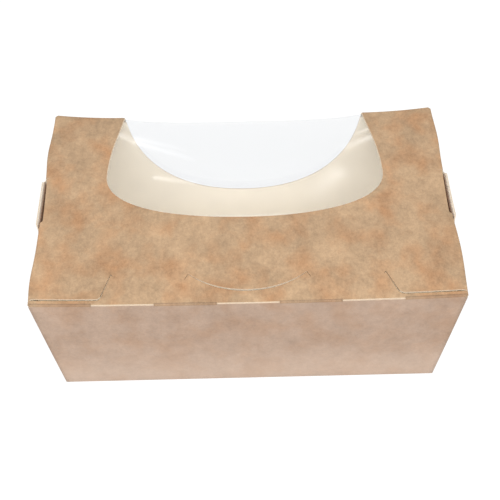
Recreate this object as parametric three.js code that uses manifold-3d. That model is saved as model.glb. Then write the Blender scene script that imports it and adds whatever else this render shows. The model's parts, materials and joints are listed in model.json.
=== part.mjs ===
// A hinged-lid salad box of folded kraft board, with a clear film window that wraps over the front edge.
// Millimetres, +Z up. The origin is the middle of the box's footprint, on the surface it stands on.
// The hinge runs along the back, at -Y. The window comes over the front edge, at +Y.
import * as THREE from 'three';
import { mergeVertices } from 'three/addons/utils/BufferGeometryUtils.js';
import Module from 'manifold-3d';

// Board, film and clearances
const boardThickness = 0.45;
const filmThickness = 0.15;
const clearance = 0.3;
const ledgeGap = 0.4;

// The box
const lidWidth = 180;
const lidDepth = 124;
const boxHeight = 60;
const wallTaper = 7.9;
const sideFlare = 0.25;
const sideBulge = 1.9;
const sideWallDrop = 2.5;
const frontWallDrop = 3.8;

// Glue tabs of the tray, folded flat on the inside of the side walls
const tabLength = 22;
const tabHeight = 46;
const tabSlant = 12;
const tabFoot = 1;

// The lid and its flaps
const frontSag = 2;
const sagEnd = 0.62;
const lidBulge = 0.5;
const lidBulgeY = -38;
const lidBulgeSpan = 14;
const earLength = 20;
const earTaper = 22;
const earBackSetback = 9;
const earFrontSetback = 8;
const earCorner = 9;
const apronLength = 54;
const apronTaper = 5.5;
const apronCorner = 1.5;
const apronCornerStart = 0.85;

// The weakened fold of the hinge: creased stretches with cut stretches between them
const hingeCuts = 3;

// The thumb notch in the fold of each ear
const notchLength = 29;
const notchCentre = 1.8;
const notchFrontDepth = 0.7;
const notchBackDepth = 1.7;
const notchDrop = 7;
const notchSlit = 2.4;

// The window
const windowBack = 50.3;
const windowWidest = 79;
const windowWidth = 125;
const windowAtFold = 111.6;
const windowOnFront = 44.7;
const windowBackFullness = 0.61;
const windowBackTurn = 10;
const windowSideTurn = 18;
const windowFoldTurn = 14;
const windowFoldLean = 2;
const scoopFullness = 0.73;
const scoopShoulder = 24;
const scoopLean = 2.2;
const apronReveal = 1;
const glueMargin = 6;
const foldRadius = 5;
const foldRadiusAtEdge = 0.6;

// The slits in the lid beside the hinge
const slitWidth = 0.3;
const cornerSlitSetback = 2.8;
const cornerSlitReach = 62;
const cornerSlitApex = 57.4;
const cornerSlitRise = 15.8;
const cornerSlitRadius = 2.2;
const tongueHalfWidth = 24.8;
const tongueRise = 16.7;
const tongueTip = 6.8;
const hookLength = 2.9;
const hookSpread = 1.4;
const slitLift = 0.6;
const liftFade = 11;

// Cuts are square-edged and reach past the board by the margin, and slivers under the tolerance are closed up
const plainCut = { bevelEnabled: false, curveSegments: 14 };
const cutMargin = 1;
const weldTolerance = 0.004;

const wasm = await Module();
wasm.setup();

const halfWidth = lidWidth / 2;
const halfDepth = lidDepth / 2;
const slope = Math.tan(THREE.MathUtils.degToRad(wallTaper));
const earSlope = Math.tan(THREE.MathUtils.degToRad(earTaper));
const apronSlope = Math.tan(THREE.MathUtils.degToRad(apronTaper));
const lidBottom = boxHeight - boardThickness;
const hingeY = -halfDepth;
const lidBackEdge = hingeY + boardThickness + clearance;
const filmGap = clearance + filmThickness + ledgeGap;
const frontWallY = halfDepth - boardThickness - filmGap;

function toSolid(geometry) {
  const bare = geometry.index ? geometry.toNonIndexed() : geometry.clone();
  bare.deleteAttribute('normal');
  bare.deleteAttribute('uv');
  const merged = mergeVertices(bare, 1e-4);
  return new wasm.Manifold(new wasm.Mesh({
    numProp: 3,
    vertProperties: new Float32Array(merged.attributes.position.array),
    triVerts: new Uint32Array(merged.index.array),
  }));
}

function toGeometry(solid) {
  const mesh = solid.getMesh();
  const geometry = new THREE.BufferGeometry();
  geometry.setAttribute('position', new THREE.BufferAttribute(mesh.vertProperties.slice(), 3));
  geometry.setIndex(new THREE.BufferAttribute(mesh.triVerts.slice(), 1));
  return geometry;
}

// Turns a grid of points on one face of a sheet and the matching grid on its other face into a closed solid.
// front and back give a point for (i, j). The front face shows its outside where i x j points outwards.
function sheetSolid(columns, rows, front, back) {
  const stride = rows + 1;
  const offset = (columns + 1) * stride;
  const points = [];
  for (const face of [front, back]) {
    for (let i = 0; i <= columns; i += 1) {
      for (let j = 0; j <= rows; j += 1) points.push(...face(i / columns, j / rows));
    }
  }
  const index = [];
  const quad = (a, b, c, d) => index.push(a, b, c, a, c, d);
  const at = (i, j) => i * stride + j;
  for (let i = 0; i < columns; i += 1) {
    for (let j = 0; j < rows; j += 1) {
      quad(at(i, j), at(i + 1, j), at(i + 1, j + 1), at(i, j + 1));
      quad(offset + at(i, j), offset + at(i, j + 1), offset + at(i + 1, j + 1), offset + at(i + 1, j));
    }
  }
  for (let i = 0; i < columns; i += 1) {
    quad(at(i, 0), offset + at(i, 0), offset + at(i + 1, 0), at(i + 1, 0));
    quad(at(i, rows), at(i + 1, rows), offset + at(i + 1, rows), offset + at(i, rows));
  }
  for (let j = 0; j < rows; j += 1) {
    quad(at(0, j), at(0, j + 1), offset + at(0, j + 1), offset + at(0, j));
    quad(at(columns, j), offset + at(columns, j), offset + at(columns, j + 1), at(columns, j + 1));
  }
  const geometry = new THREE.BufferGeometry();
  geometry.setAttribute('position', new THREE.Float32BufferAttribute(points, 3));
  geometry.setIndex(index);
  return toSolid(geometry);
}

// A flat outline in x and y, extruded upwards between two heights.
function uprightPrism(shape, bottom, top) {
  const geometry = new THREE.ExtrudeGeometry(shape, { depth: top - bottom, ...plainCut });
  geometry.translate(0, 0, bottom);
  return toSolid(geometry);
}

// A flat outline in x and height, extruded along y between two places.
function frontalPrism(shape, nearY, farY) {
  const geometry = new THREE.ExtrudeGeometry(shape, { depth: farY - nearY, ...plainCut });
  geometry.rotateX(Math.PI / 2);
  geometry.translate(0, farY, 0);
  return toSolid(geometry);
}

// A flat outline in y and height, extruded along x between two places.
function sidewaysPrism(shape, fromX, toX) {
  const geometry = new THREE.ExtrudeGeometry(shape, { depth: toX - fromX, ...plainCut });
  geometry.rotateX(Math.PI / 2);
  geometry.rotateZ(Math.PI / 2);
  geometry.translate(fromX, 0, 0);
  return toSolid(geometry);
}

// The board sags towards the middle of its front edge, and the front corners stay up on the side walls.
function lidHeight(x, y) {
  const across = THREE.MathUtils.clamp((Math.abs(x) / halfWidth - sagEnd) / (1 - sagEnd), 0, 1);
  const along = THREE.MathUtils.clamp((y + halfDepth) / lidDepth, 0, 1);
  return boxHeight - frontSag * (1 - across ** 2) * along ** 3;
}

// The side folds stand out a little between the hinge and the notch.
function lidHalfWidth(y) {
  return halfWidth + lidBulge * Math.exp(-(((y - lidBulgeY) / lidBulgeSpan) ** 2));
}

// The window's outline in the lid, from its curved back edge out to the sides and in again to the front fold.
function lidWindowShape() {
  const back = hingeY + windowBack;
  const widest = hingeY + windowWidest;
  const half = windowWidth / 2;
  const fold = windowAtFold / 2;
  const past = halfDepth + foldRadius;
  const backHandle = half * windowBackFullness;
  const foldHandle = fold + windowFoldLean;
  const foldTurn = halfDepth - windowFoldTurn;
  const shape = new THREE.Shape();
  shape.moveTo(0, back);
  shape.bezierCurveTo(backHandle, back, half, back + windowBackTurn, half, widest);
  shape.bezierCurveTo(half, widest + windowSideTurn, foldHandle, foldTurn, fold, halfDepth);
  shape.lineTo(fold, past);
  shape.lineTo(-fold, past);
  shape.lineTo(-fold, halfDepth);
  shape.bezierCurveTo(-foldHandle, foldTurn, -half, widest + windowSideTurn, -half, widest);
  shape.bezierCurveTo(-half, back + windowBackTurn, -backHandle, back, 0, back);
  return shape;
}

// The window's outline on the front, in x and height: a deep rounded scoop below the top fold.
function frontWindowShape(grow) {
  const fold = windowAtFold / 2 + grow;
  const bottom = boxHeight - windowOnFront - grow;
  const bottomHandle = fold * scoopFullness;
  const shoulder = boxHeight - scoopShoulder;
  const past = boxHeight + foldRadius;
  const shape = new THREE.Shape();
  shape.moveTo(0, bottom);
  shape.bezierCurveTo(bottomHandle, bottom, fold - scoopLean, shoulder, fold, boxHeight);
  shape.lineTo(fold, past);
  shape.lineTo(-fold, past);
  shape.lineTo(-fold, boxHeight);
  shape.bezierCurveTo(scoopLean - fold, shoulder, -bottomHandle, bottom, 0, bottom);
  return shape;
}

// A thin closed ribbon along a line of points, for a cut through the board.
function ribbon(points) {
  const left = [];
  const right = [];
  points.forEach((point, i) => {
    const before = points[Math.max(0, i - 1)];
    const after = points[Math.min(points.length - 1, i + 1)];
    const normal = new THREE.Vector2(before.y - after.y, after.x - before.x).setLength(slitWidth / 2);
    left.push(point.clone().add(normal));
    right.push(point.clone().sub(normal));
  });
  return new THREE.Shape([...left, ...right.reverse()]);
}

// The slit round a lid corner: in from the side fold beside the hinge, round a bend, up to its apex.
function cornerSlitPoints(side) {
  const path = new THREE.CurvePath();
  const spot = (x, y) => new THREE.Vector2(side * x, hingeY + y);
  const rise = cornerSlitRise - cornerSlitSetback;
  const run = cornerSlitReach - cornerSlitApex;
  const steep = Math.hypot(rise, run);
  const bend = spot(cornerSlitReach, cornerSlitSetback);
  const bendStart = spot(cornerSlitReach + cornerSlitRadius, cornerSlitSetback);
  const bendEnd = spot(
    cornerSlitReach - (cornerSlitRadius * run) / steep,
    cornerSlitSetback + (cornerSlitRadius * rise) / steep,
  );
  const apex = spot(cornerSlitApex, cornerSlitRise);
  path.add(new THREE.LineCurve(spot(halfWidth + lidBulge + cutMargin, cornerSlitSetback), bendStart));
  path.add(new THREE.QuadraticBezierCurve(bendStart, bend, bendEnd));
  path.add(new THREE.LineCurve(bendEnd, apex));
  return path.getPoints(5).filter((p, i, all) => i === 0 || p.distanceTo(all[i - 1]) > 0.01);
}

// The curved slit round the tongue: one arc through both apexes and the tip.
function tonguePoints() {
  const sagitta = tongueRise - tongueTip;
  const radius = (tongueHalfWidth ** 2 + sagitta ** 2) / (2 * sagitta);
  const sweep = Math.asin(tongueHalfWidth / radius);
  const steps = 16;
  const points = [];
  for (let i = 0; i <= steps; i += 1) {
    const angle = sweep * (1 - (2 * i) / steps);
    const y = hingeY + tongueTip + radius * (1 - Math.cos(angle));
    points.push(new THREE.Vector2(radius * Math.sin(angle), y));
  }
  return points;
}

// A slit ends in a short hook, so that the board doesn't tear on past the apex.
function hookPoints(apex, sideways) {
  return [apex, new THREE.Vector2(apex.x + sideways * hookSpread, apex.y - hookLength)];
}

// The parts of the lid inside the slits stand a little proud at the slit and fade back into the lid.
function slitRise(x, y) {
  const fromHinge = y - hingeY;
  const fade = (d) => Math.max(0, 1 - d / liftFade) ** 2;
  const t = THREE.MathUtils.clamp(
    (fromHinge - cornerSlitSetback) / (cornerSlitRise - cornerSlitSetback),
    0,
    1,
  );
  const cornerEdge = THREE.MathUtils.lerp(cornerSlitReach, cornerSlitApex, t);
  const inCorner = Math.abs(x) > cornerEdge && fromHinge > cornerSlitSetback;
  if (inCorner && fromHinge < cornerSlitRise) {
    return slitLift * fade(fromHinge - cornerSlitSetback);
  }
  const sagitta = tongueRise - tongueTip;
  const radius = (tongueHalfWidth ** 2 + sagitta ** 2) / (2 * sagitta);
  const centreDistance = Math.hypot(x, fromHinge - tongueTip - radius);
  if (centreDistance < radius && fromHinge < tongueRise) return slitLift * fade(fromHinge - tongueTip);
  return 0;
}

// The tray's outline at a height: v runs once round it, one unit to each of its four walls.
function trayOutline(v, z, inset) {
  const narrowing = (boxHeight - z) * slope + inset;
  const side = Math.floor(v) % 4;
  const f = v - Math.floor(v);
  const bow = (u) => sideFlare * (1 - u ** 8) + sideBulge * (1 - u ** 2) ** 2;
  const backY = hingeY + narrowing;
  const frontY = frontWallY - narrowing;
  const y = THREE.MathUtils.lerp(backY, frontY, side === 1 ? f : 1 - f);
  const x = halfWidth - narrowing;
  const lean = z / boxHeight;
  if (side === 0) return [THREE.MathUtils.lerp(-x, x, f), backY];
  if (side === 1) return [x + bow(2 * f - 1) * lean, y];
  if (side === 2) return [THREE.MathUtils.lerp(x, -x, f), frontY];
  return [-x - bow(2 * f - 1) * lean, y];
}

// The top edge's height round the tray: level with the lid's underside at the hinge, and lower elsewhere.
function trayTop(v) {
  const side = Math.floor(v) % 4;
  if (side === 0) return lidBottom;
  if (side === 2) return boxHeight - frontWallDrop;
  return boxHeight - sideWallDrop;
}

function trayShell() {
  const steps = 14;
  const rings = 4;
  const count = steps * 4;
  const points = [];
  const ring = (height, inset) => {
    for (let k = 0; k < count; k += 1) {
      const v = k / steps;
      const before = ((k + count - 1) % count) / steps;
      const top = Math.min(trayTop(v), trayTop(before));
      const z = height(top);
      const [x, y] = trayOutline(v, z, inset);
      points.push(x, y, z);
    }
  };
  for (let r = 0; r <= rings; r += 1) ring((top) => (top * r) / rings, 0);
  const wall = boardThickness;
  for (let r = rings; r >= 0; r -= 1) ring((top) => wall + ((top - wall) * r) / rings, wall);
  points.push(0, 0, 0, 0, 0, wall);
  const index = [];
  const ringCount = 2 * (rings + 1);
  for (let r = 0; r < ringCount - 1; r += 1) {
    for (let k = 0; k < count; k += 1) {
      const a = r * count + k;
      const b = r * count + ((k + 1) % count);
      index.push(a, b, b + count, a, b + count, a + count);
    }
  }
  const under = ringCount * count;
  const last = (ringCount - 1) * count;
  for (let k = 0; k < count; k += 1) {
    index.push(under, (k + 1) % count, k);
    index.push(under + 1, last + k, last + ((k + 1) % count));
  }
  const geometry = new THREE.BufferGeometry();
  geometry.setAttribute('position', new THREE.Float32BufferAttribute(points, 3));
  geometry.setIndex(index);
  return toSolid(geometry);
}

// The creased stretches of the hinge fold, where the board still turns over from the wall to the lid.
function creaseWebs() {
  const profile = new THREE.Shape();
  const low = lidBottom - boardThickness;
  profile.moveTo(hingeY + (boxHeight - low) * slope, low);
  profile.lineTo(hingeY + boardThickness, low);
  profile.lineTo(hingeY + boardThickness, boxHeight);
  profile.quadraticCurveTo(hingeY, boxHeight, hingeY, lidBottom);
  const stretch = lidWidth / (2 * hingeCuts + 1);
  const webs = [];
  for (let i = 0; i <= hingeCuts; i += 1) {
    const start = -halfWidth + 2 * i * stretch + (i === 0 ? boardThickness : 0);
    const end = -halfWidth + (2 * i + 1) * stretch - (i === hingeCuts ? boardThickness : 0);
    webs.push(sidewaysPrism(profile, start, end));
  }
  return webs;
}

// A glue tab that continues the back or front wall round the corner, flat on the side wall's inside.
function glueTab(side, end) {
  const inset = boardThickness;
  const place = (u, w, depth) => {
    const along = u * tabLength;
    const z = boardThickness + tabFoot + w * (tabHeight - (tabSlant * along) / tabLength);
    const narrowing = (boxHeight - z) * slope;
    const corner = end < 0 ? hingeY + narrowing : frontWallY - narrowing;
    const y = corner - end * (inset * 0.5 + along);
    const f = (y - hingeY - narrowing) / (frontWallY - hingeY - 2 * narrowing);
    const [x] = trayOutline(1 + THREE.MathUtils.clamp(f, 0, 0.999), z, depth);
    return [side * x, y, z];
  };
  const outer = (u, w) => place(u, w, inset * 0.5);
  const inner = (u, w) => place(u, w, inset * 2);
  const flip = side * end < 0;
  return sheetSolid(6, 4, flip ? outer : inner, flip ? inner : outer);
}

function makeTray() {
  let solid = trayShell();
  for (const web of creaseWebs()) solid = solid.add(web);
  for (const side of [-1, 1]) {
    for (const end of [-1, 1]) solid = solid.add(glueTab(side, end));
  }
  const wallFoot = frontWallY - boxHeight * slope - boardThickness;
  return solid.subtract(frontalPrism(frontWindowShape(0), wallFoot, frontWallY + cutMargin));
}

// The flat top panel, built over the whole lid and cut afterwards.
function lidPanel() {
  const place = (drop) => (u, w) => {
    const y = THREE.MathUtils.lerp(lidBackEdge, halfDepth, w);
    const x = (2 * u - 1) * lidHalfWidth(y);
    return [x, y, lidHeight(x, y) - drop];
  };
  return sheetSolid(40, 26, place(0), place(boardThickness));
}

// An ear folds down from a side of the lid and tucks inside the side wall. Its free corners are clipped.
function lidEar(side) {
  const back = lidBackEdge + earBackSetback;
  const front = halfDepth - earFrontSetback;
  const place = (inset) => (u, w) => {
    const drop = w * earLength;
    const clip = earCorner * w ** 2;
    const y = THREE.MathUtils.lerp(back + clip, front - clip, u);
    const top = lidHeight(halfWidth, y) - boardThickness * 0.5;
    return [side * (lidHalfWidth(y) - inset - drop * earSlope), y, top - drop];
  };
  const outer = place(0);
  const inner = place(boardThickness);
  return sheetSolid(18, 4, side > 0 ? inner : outer, side > 0 ? outer : inner);
}

// The apron folds down from the front of the lid and lies outside the front wall.
function lidApron() {
  const place = (inset) => (u, w) => {
    const drop = w * apronLength;
    const clip = Math.max(0, (w - apronCornerStart) / (1 - apronCornerStart));
    const narrowing = drop * slope + apronCorner * 2 * clip;
    const half = halfWidth - narrowing;
    const x = THREE.MathUtils.lerp(-half, half, u);
    const top = lidHeight(THREE.MathUtils.lerp(-halfWidth, halfWidth, u), halfDepth);
    return [x, halfDepth - inset - drop * apronSlope, top - boardThickness * 0.5 - drop];
  };
  return sheetSolid(32, 10, place(0), place(boardThickness));
}

// A thumb notch through the fold of an ear, deeper towards the hinge.
function notchCutter(side) {
  const back = notchCentre - notchLength / 2;
  const front = notchCentre + notchLength / 2;
  const outer = halfWidth + lidBulge + cutMargin;
  const innerBack = halfWidth - notchBackDepth;
  const innerFront = halfWidth - notchFrontDepth;
  const shape = new THREE.Shape();
  shape.moveTo(side * outer, back);
  shape.lineTo(side * (innerBack + notchBackDepth), back);
  shape.quadraticCurveTo(side * innerBack, back, side * innerBack, back + notchBackDepth);
  shape.lineTo(side * innerFront, front);
  shape.lineTo(side * outer, front);
  return uprightPrism(shape, boxHeight - notchDrop, boxHeight + cutMargin);
}

function makeLid() {
  let solid = lidPanel().add(lidApron());
  for (const side of [-1, 1]) solid = solid.add(lidEar(side)).subtract(notchCutter(side));
  const lowest = lidBottom - frontSag - cutMargin;
  solid = solid.subtract(uprightPrism(lidWindowShape(), lowest, boxHeight + cutMargin));
  const apronBack = halfDepth - apronLength * apronSlope - boardThickness - cutMargin;
  solid = solid.subtract(frontalPrism(frontWindowShape(apronReveal), apronBack, halfDepth + cutMargin));
  const cut = (points) => {
    solid = solid.subtract(uprightPrism(ribbon(points), lidBottom - cutMargin, boxHeight + cutMargin));
  };
  for (const side of [-1, 1]) {
    const slitY = notchCentre + notchLength / 2 + slitWidth;
    const slitEnds = [halfWidth - notchFrontDepth - notchSlit, halfWidth + lidBulge];
    cut(slitEnds.map((x) => new THREE.Vector2(side * x, slitY)));
    const corner = cornerSlitPoints(side);
    cut(corner);
    cut(hookPoints(corner[corner.length - 1], -side));
  }
  const tongue = tonguePoints();
  cut(tongue);
  cut(hookPoints(tongue[0], 1));
  cut(hookPoints(tongue[tongue.length - 1], -1));
  solid = solid.simplify(weldTolerance);
  return solid.warp((point) => {
    point[2] += slitRise(point[0], point[1]);
  });
}

// The film is glued under the lid and inside the apron. It turns over the front edge on a soft radius.
function makeFilm() {
  const half = windowWidth / 2 + glueMargin;
  const back = hingeY + windowBack - glueMargin;
  const reach = windowOnFront + glueMargin;
  const foldSteps = 8;
  const topSteps = 10;
  const frontSteps = 6;
  const rows = topSteps + foldSteps + frontSteps;
  const place = (depth) => (u, w) => {
    const x = THREE.MathUtils.lerp(-half, half, u);
    const near = Math.min(1, Math.abs(x) / (windowAtFold / 2));
    const radius = THREE.MathUtils.lerp(foldRadius, foldRadiusAtEdge, near ** 4) - depth;
    const inset = boardThickness + clearance + depth;
    const lift = lidHeight(x, halfDepth) - boxHeight;
    const step = w * rows;
    const cornerY = halfDepth - inset;
    const cornerZ = boxHeight + lift - inset;
    const turn = Math.PI / 2 + Math.atan(apronSlope);
    const arcStartY = cornerY - radius * Math.tan(turn / 2);
    if (step < topSteps) {
      const y = THREE.MathUtils.lerp(back, arcStartY, step / topSteps);
      return [x, y, lidHeight(x, y) - inset];
    }
    if (step <= topSteps + foldSteps) {
      const angle = (turn * (step - topSteps)) / foldSteps;
      return [x, arcStartY + radius * Math.sin(angle), cornerZ - radius * (1 - Math.cos(angle))];
    }
    const arcEndY = arcStartY + radius * Math.sin(turn);
    const arcDrop = radius * (1 - Math.cos(turn));
    const drop = ((reach - arcDrop) * (step - topSteps - foldSteps)) / frontSteps;
    return [x, arcEndY - drop * apronSlope, cornerZ - arcDrop - drop];
  };
  return sheetSolid(28, rows, place(0), place(filmThickness));
}

const kraftBoard = new THREE.MeshStandardMaterial({ color: 0xc8a076, roughness: 0.85, metalness: 0 });
const kraftLid = new THREE.MeshStandardMaterial({ color: 0xcda579, roughness: 0.85, metalness: 0 });
const clearFilm = new THREE.MeshStandardMaterial({
  color: 0xf4f6f8,
  roughness: 0.1,
  metalness: 0,
  transparent: true,
  opacity: 0.25,
});

function named(name, solid, material) {
  const mesh = new THREE.Mesh(toGeometry(solid), material);
  mesh.name = name;
  return mesh;
}

const box = new THREE.Group();
box.add(named('tray', makeTray(), kraftBoard));
box.add(named('lid', makeLid(), kraftLid));
box.add(named('window_film', makeFilm(), clearFilm));

export default box;
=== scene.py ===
import json
import math

import bpy
import numpy as np
from mathutils import Matrix, Vector
from mathutils.geometry import delaunay_2d_cdt


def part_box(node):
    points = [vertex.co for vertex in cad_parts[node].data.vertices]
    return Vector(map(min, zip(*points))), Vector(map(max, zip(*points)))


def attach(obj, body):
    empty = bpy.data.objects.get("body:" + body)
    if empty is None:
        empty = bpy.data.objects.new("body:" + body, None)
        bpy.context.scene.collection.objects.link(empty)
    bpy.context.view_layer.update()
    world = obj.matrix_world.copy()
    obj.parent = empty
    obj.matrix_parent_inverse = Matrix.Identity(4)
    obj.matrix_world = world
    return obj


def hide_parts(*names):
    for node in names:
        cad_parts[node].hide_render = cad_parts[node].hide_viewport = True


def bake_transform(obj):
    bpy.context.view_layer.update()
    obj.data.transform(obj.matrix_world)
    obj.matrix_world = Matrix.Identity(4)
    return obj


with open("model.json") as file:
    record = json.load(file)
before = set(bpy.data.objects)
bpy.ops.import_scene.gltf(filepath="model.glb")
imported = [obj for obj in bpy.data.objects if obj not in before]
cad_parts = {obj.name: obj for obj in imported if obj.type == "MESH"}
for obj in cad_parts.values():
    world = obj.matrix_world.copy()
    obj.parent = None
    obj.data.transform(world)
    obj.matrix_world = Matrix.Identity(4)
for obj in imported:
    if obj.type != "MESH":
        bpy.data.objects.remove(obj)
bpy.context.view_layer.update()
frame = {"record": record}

bl_info = {
    "name": "Kraft salad box",
    "version": (1, 0, 0),
    "blender": (4, 5, 0),
    "location": "3D View > Sidebar > Salad box",
    "description": "Builds the board, the clear window and the studio of a kraft salad box",
    "category": "Add Mesh",
}

# Lengths are in millimetres, but for the camera's and the lamp's. The first few come from the frame.
LID_HIGH = np.array(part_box("lid")[1]) * 1000
HINGE = np.array(frame["record"]["behaviour"]["joints"][0]["pos_m"]) * 1000
LID_BULGE = 0.5
HALF_W = LID_HIGH[0] - LID_BULGE
HALF_D = LID_HIGH[1]
HINGE_Y = HINGE[1]
TOP = HINGE[2]
DEPTH = HALF_D - HINGE_Y

# Board and folds
BOARD = 0.45
TAPER = math.tan(math.radians(7.9))
EAR_TAPER = math.radians(8)
APRON_TAPER = math.radians(5.5)
FOLD_ROUND = 0.5
FOLD_SPAN = 0.42

# Tray
FRONT_WALL_Y = HALF_D - 1.3
SIDE_DROP = 1.4
FRONT_DROP = 3.8
SIDE_FLARE = 0.42
BACK_GAP = 0.12
SCOOP_GAP = 0.1
BASE_ROUND = 0.9
CORNER_PULL = 0.6
# Glue tabs: foot is their lowest height, and slant is how much shorter they are at the far end
TAB = {"length": 22.0, "height": 46.0, "slant": 12.0, "foot": 1.45, "ease": 8.0, "gap": 0.02}
# Lock tab of a side wall: rise above the wall, depth of its lean, and the length of the ease at each end
LOCK_TAB = {"rise": 1.05, "deep": 7.0, "back_end": 5.0, "front_end": 1.5}
# Painted shade in the slot between an ear and its wall: the depth it starts at, its ease, its end and its
# most
SLOT_SHADE = {"mouth": 0.4, "into": 2.3, "end": 5.4, "most": 0.87, "beside": 0.8}
BASE_SHARES = (0.2, 0.6)
TRAY_POINTS = {"back": 80, "side": 124, "plain_front": 10, "scoop": 48, "up": 30}

# Lid. The front sag is full up to SAG_END of the half width and falls off from there to the corner.
LID_DROP = 0.05
SAG_END = 0.62
WAVE = {"height": 0.12, "x": 0.07, "y": 0.09, "x_shift": 0.6, "y_shift": 0.4}
CORNER_PULL_END = 12.0
EAR = {
    "bend": 0.0139, "length": 20.0, "back": 9.75, "front": 8.0, "clip": 9.0,
    "foot": 6.0, "lean": 1.0, "turn": 3.0,
}
APRON = {"length": 54.0, "round": 9.0, "lean": 1.0, "turn": 3.0}
NOTCH = {
    "middle": 1.8, "half": 14.5, "back_depth": 1.6, "front_depth": 0.9, "drop": 2.5,
    "slit": 2.4, "slant": 0.1, "round": 1.7, "turn": 0.6,
}
CORNER_SLIT = {
    -1: {"setback": 2.8, "reach": 60.8, "apex": 56.8, "rise": 17.4, "round": 1.6},
    1: {"setback": 2.8, "reach": 62.2, "apex": 57.4, "rise": 15.8, "round": 2.6},
}
# Corner slits: start outside the fold, and its shift along the side
SLIT_START = (1.2, 0.25)
TONGUE = {"half": 24.8, "rise": 16.7, "tip": 6.8}
HOOK = {"corner": 1.3, "tongue": 2.9, "spread": 0.48}
# The slit's cut wall is painted brown, a painted shade in the slit, beyond this distance from the hinge and
# from the middle
SLIT_PAINTED_SHADE = {"from": 4.2, "half": 24.6}
# Strip outside a corner slit: how far past the slit it counts, and the length over which it sinks
STRIP = {"edge": 0.4, "length": 12.0}
# A distance past every slit, and past the ears
PAST = 40.0
# Bows of each side edge: distance from the hinge, half length, height
EDGE_BOWS = {
    -1: ((15.0, 11.0, 0.7), (95.0, 12.0, 0.95)),
    1: ((27.0, 18.0, 1.0), (102.0, 12.0, 0.65)),
}
# Points of the blank: rows along a fold as shares of its span, their spacing, and the spacing along cuts
FOLD_ROWS = (-2, -1.33, -0.67, 0.0)
FOLD_STEP = 1.5
FOLD_MARGIN = 2
STEP = {"outline": 1.4, "loop": 1.2, "slit": 1.0}
# Grid points nearer to a cut than this share of the step are left out
CLEAR_OF_CUT = 0.3
# Distances under which two points are one, and a point is on a cut.
MERGE = 1e-4
ON_RIM = 0.01
# Twice the area under which a triangle is left out
SLIVER = 1e-7

# Hinge: creased and cut stretches in turn. The section of a creased one runs from the wall to the lid.
STRETCHES = 7
WEB_SECTION = ((0.07, -0.9), (0.0, -0.55), (-0.02, 0.16), (1.1, -0.01))
WEB_INWARD = np.array((0.0, 0.18, -0.18))
WEB_END_GAP = 0.3
WEB_DROP = 0.02
WEB_POINTS = {"across": 24, "along": 16}

# Window, with the fullness of its curves as shares of their length
WINDOW = {
    "back": 50.3, "widest": 79.0, "centre": 94.0, "half": 62.5, "fold": 56.8, "front": 43.7,
    "fold_lean": 2.0, "fold_turn": 14.0,
}
FULL = {"back": 0.61, "corner": 0.2, "side": 0.4, "shoulder": 0.54, "shoulder_in": 0.95, "lip": 0.65}
FILM = {"lap": 6.0, "gap": 0.04, "corner_radius": 0.6}
FILM_POINTS = {"across": 180, "top": 130, "fold": 24, "front": 60}
# Creases of the film, whitened and also standing in as painted glare highlights: start x and y, end x and y,
# half width, strength
FILM_CREASES_AND_GLARE = (
    (-58.5, 48.9, -50.0, 41.5, 1.8, 0.09),
    (-51.5, 42.6, -24.0, 29.0, 1.3, 0.05),
    (-50.5, 45.6, -30.0, 37.0, 1.3, 0.04),
    (-40.5, 16.6, -24.0, 12.5, 1.5, 0.08),
    (42.3, 16.9, 31.8, 5.1, 4.5, 0.06),
    (59.2, 42.5, 47.3, 35.3, 1.8, 0.09),
    (58.0, 48.5, 54.0, 45.5, 1.2, 0.08),
)

# Camera as fitted to the photograph, in degrees, metres and pixels. Lamp in metres and watts.
CAMERA = {
    "azimuth": -0.52, "elevation": 45.18, "roll": -0.96, "distance": 0.5096,
    "focal_px": 1200, "frame_px": 500, "sensor_mm": 36,
}
LOOK_AT = Vector((0.001317, -0.032399, 0.06))
LAMP = {"spot": Vector((0.0, -0.515, 0.6)), "aim": Vector((0, 0, 0.03)), "size": (1.9, 0.22), "power": 9.1}
FLOOR_HALF = 3000.0


def linear(text):
    """A colour written as sRGB hex, as linear red, green, blue and 1."""
    parts = [int(text[i:i + 2], 16) / 255 for i in (1, 3, 5)]
    return [c / 12.92 if c <= 0.04045 else ((c + 0.055) / 1.055) ** 2.4 for c in parts] + [1.0]


def length_property(name, description, millimetres):
    """A length that a user can change. Its default is given in millimetres and held in metres."""
    return bpy.props.FloatProperty(
        name=name, description=description, default=millimetres / 1000, unit="LENGTH", precision=5)


def colour_property(name, description, text):
    """A colour that a user can change, with its default as sRGB hex."""
    return bpy.props.FloatVectorProperty(
        name=name, description=description, default=linear(text), size=4, subtype="COLOR", min=0, max=1)


class SaladBoxSizes(bpy.types.PropertyGroup):
    """Sizes of the board and film that show."""

    grid: length_property("Grid step", "Spacing of the points on the lid's panels", 2.0)
    slit_width: length_property("Slit width", "Width of a die-cut slit", 0.25)
    corner_lift: length_property("Corner lift", "How far a lid corner stands proud at its slit", 0.66)
    tongue_lift: length_property("Tongue lift", "How far the tongue stands proud at its tip", 0.72)
    strip_drop: length_property("Strip drop", "How far the strip outside a corner slit sinks", 0.12)
    rim_crush: length_property("Rim crush", "How far the window's cut edge slants inwards", 0.3)
    edge_sag: length_property("Edge sag", "How far the hinge edge sags between its ends", 0.8)
    front_sag: length_property("Front sag", "How far the front fold sags between its ends", 2.5)
    left_wall_bow: length_property("Left wall bow", "How far the left wall leans out at its lock tab", 1.37)
    right_wall_bow: length_property("Right wall bow", "How far the right wall leans out at its lock tab", 1.2)
    film_radius: length_property("Film fold radius", "Radius of the film's fold at mid span", 5.0)
    film_thickness: length_property("Film thickness", "Thickness of the film", 0.08)


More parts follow.
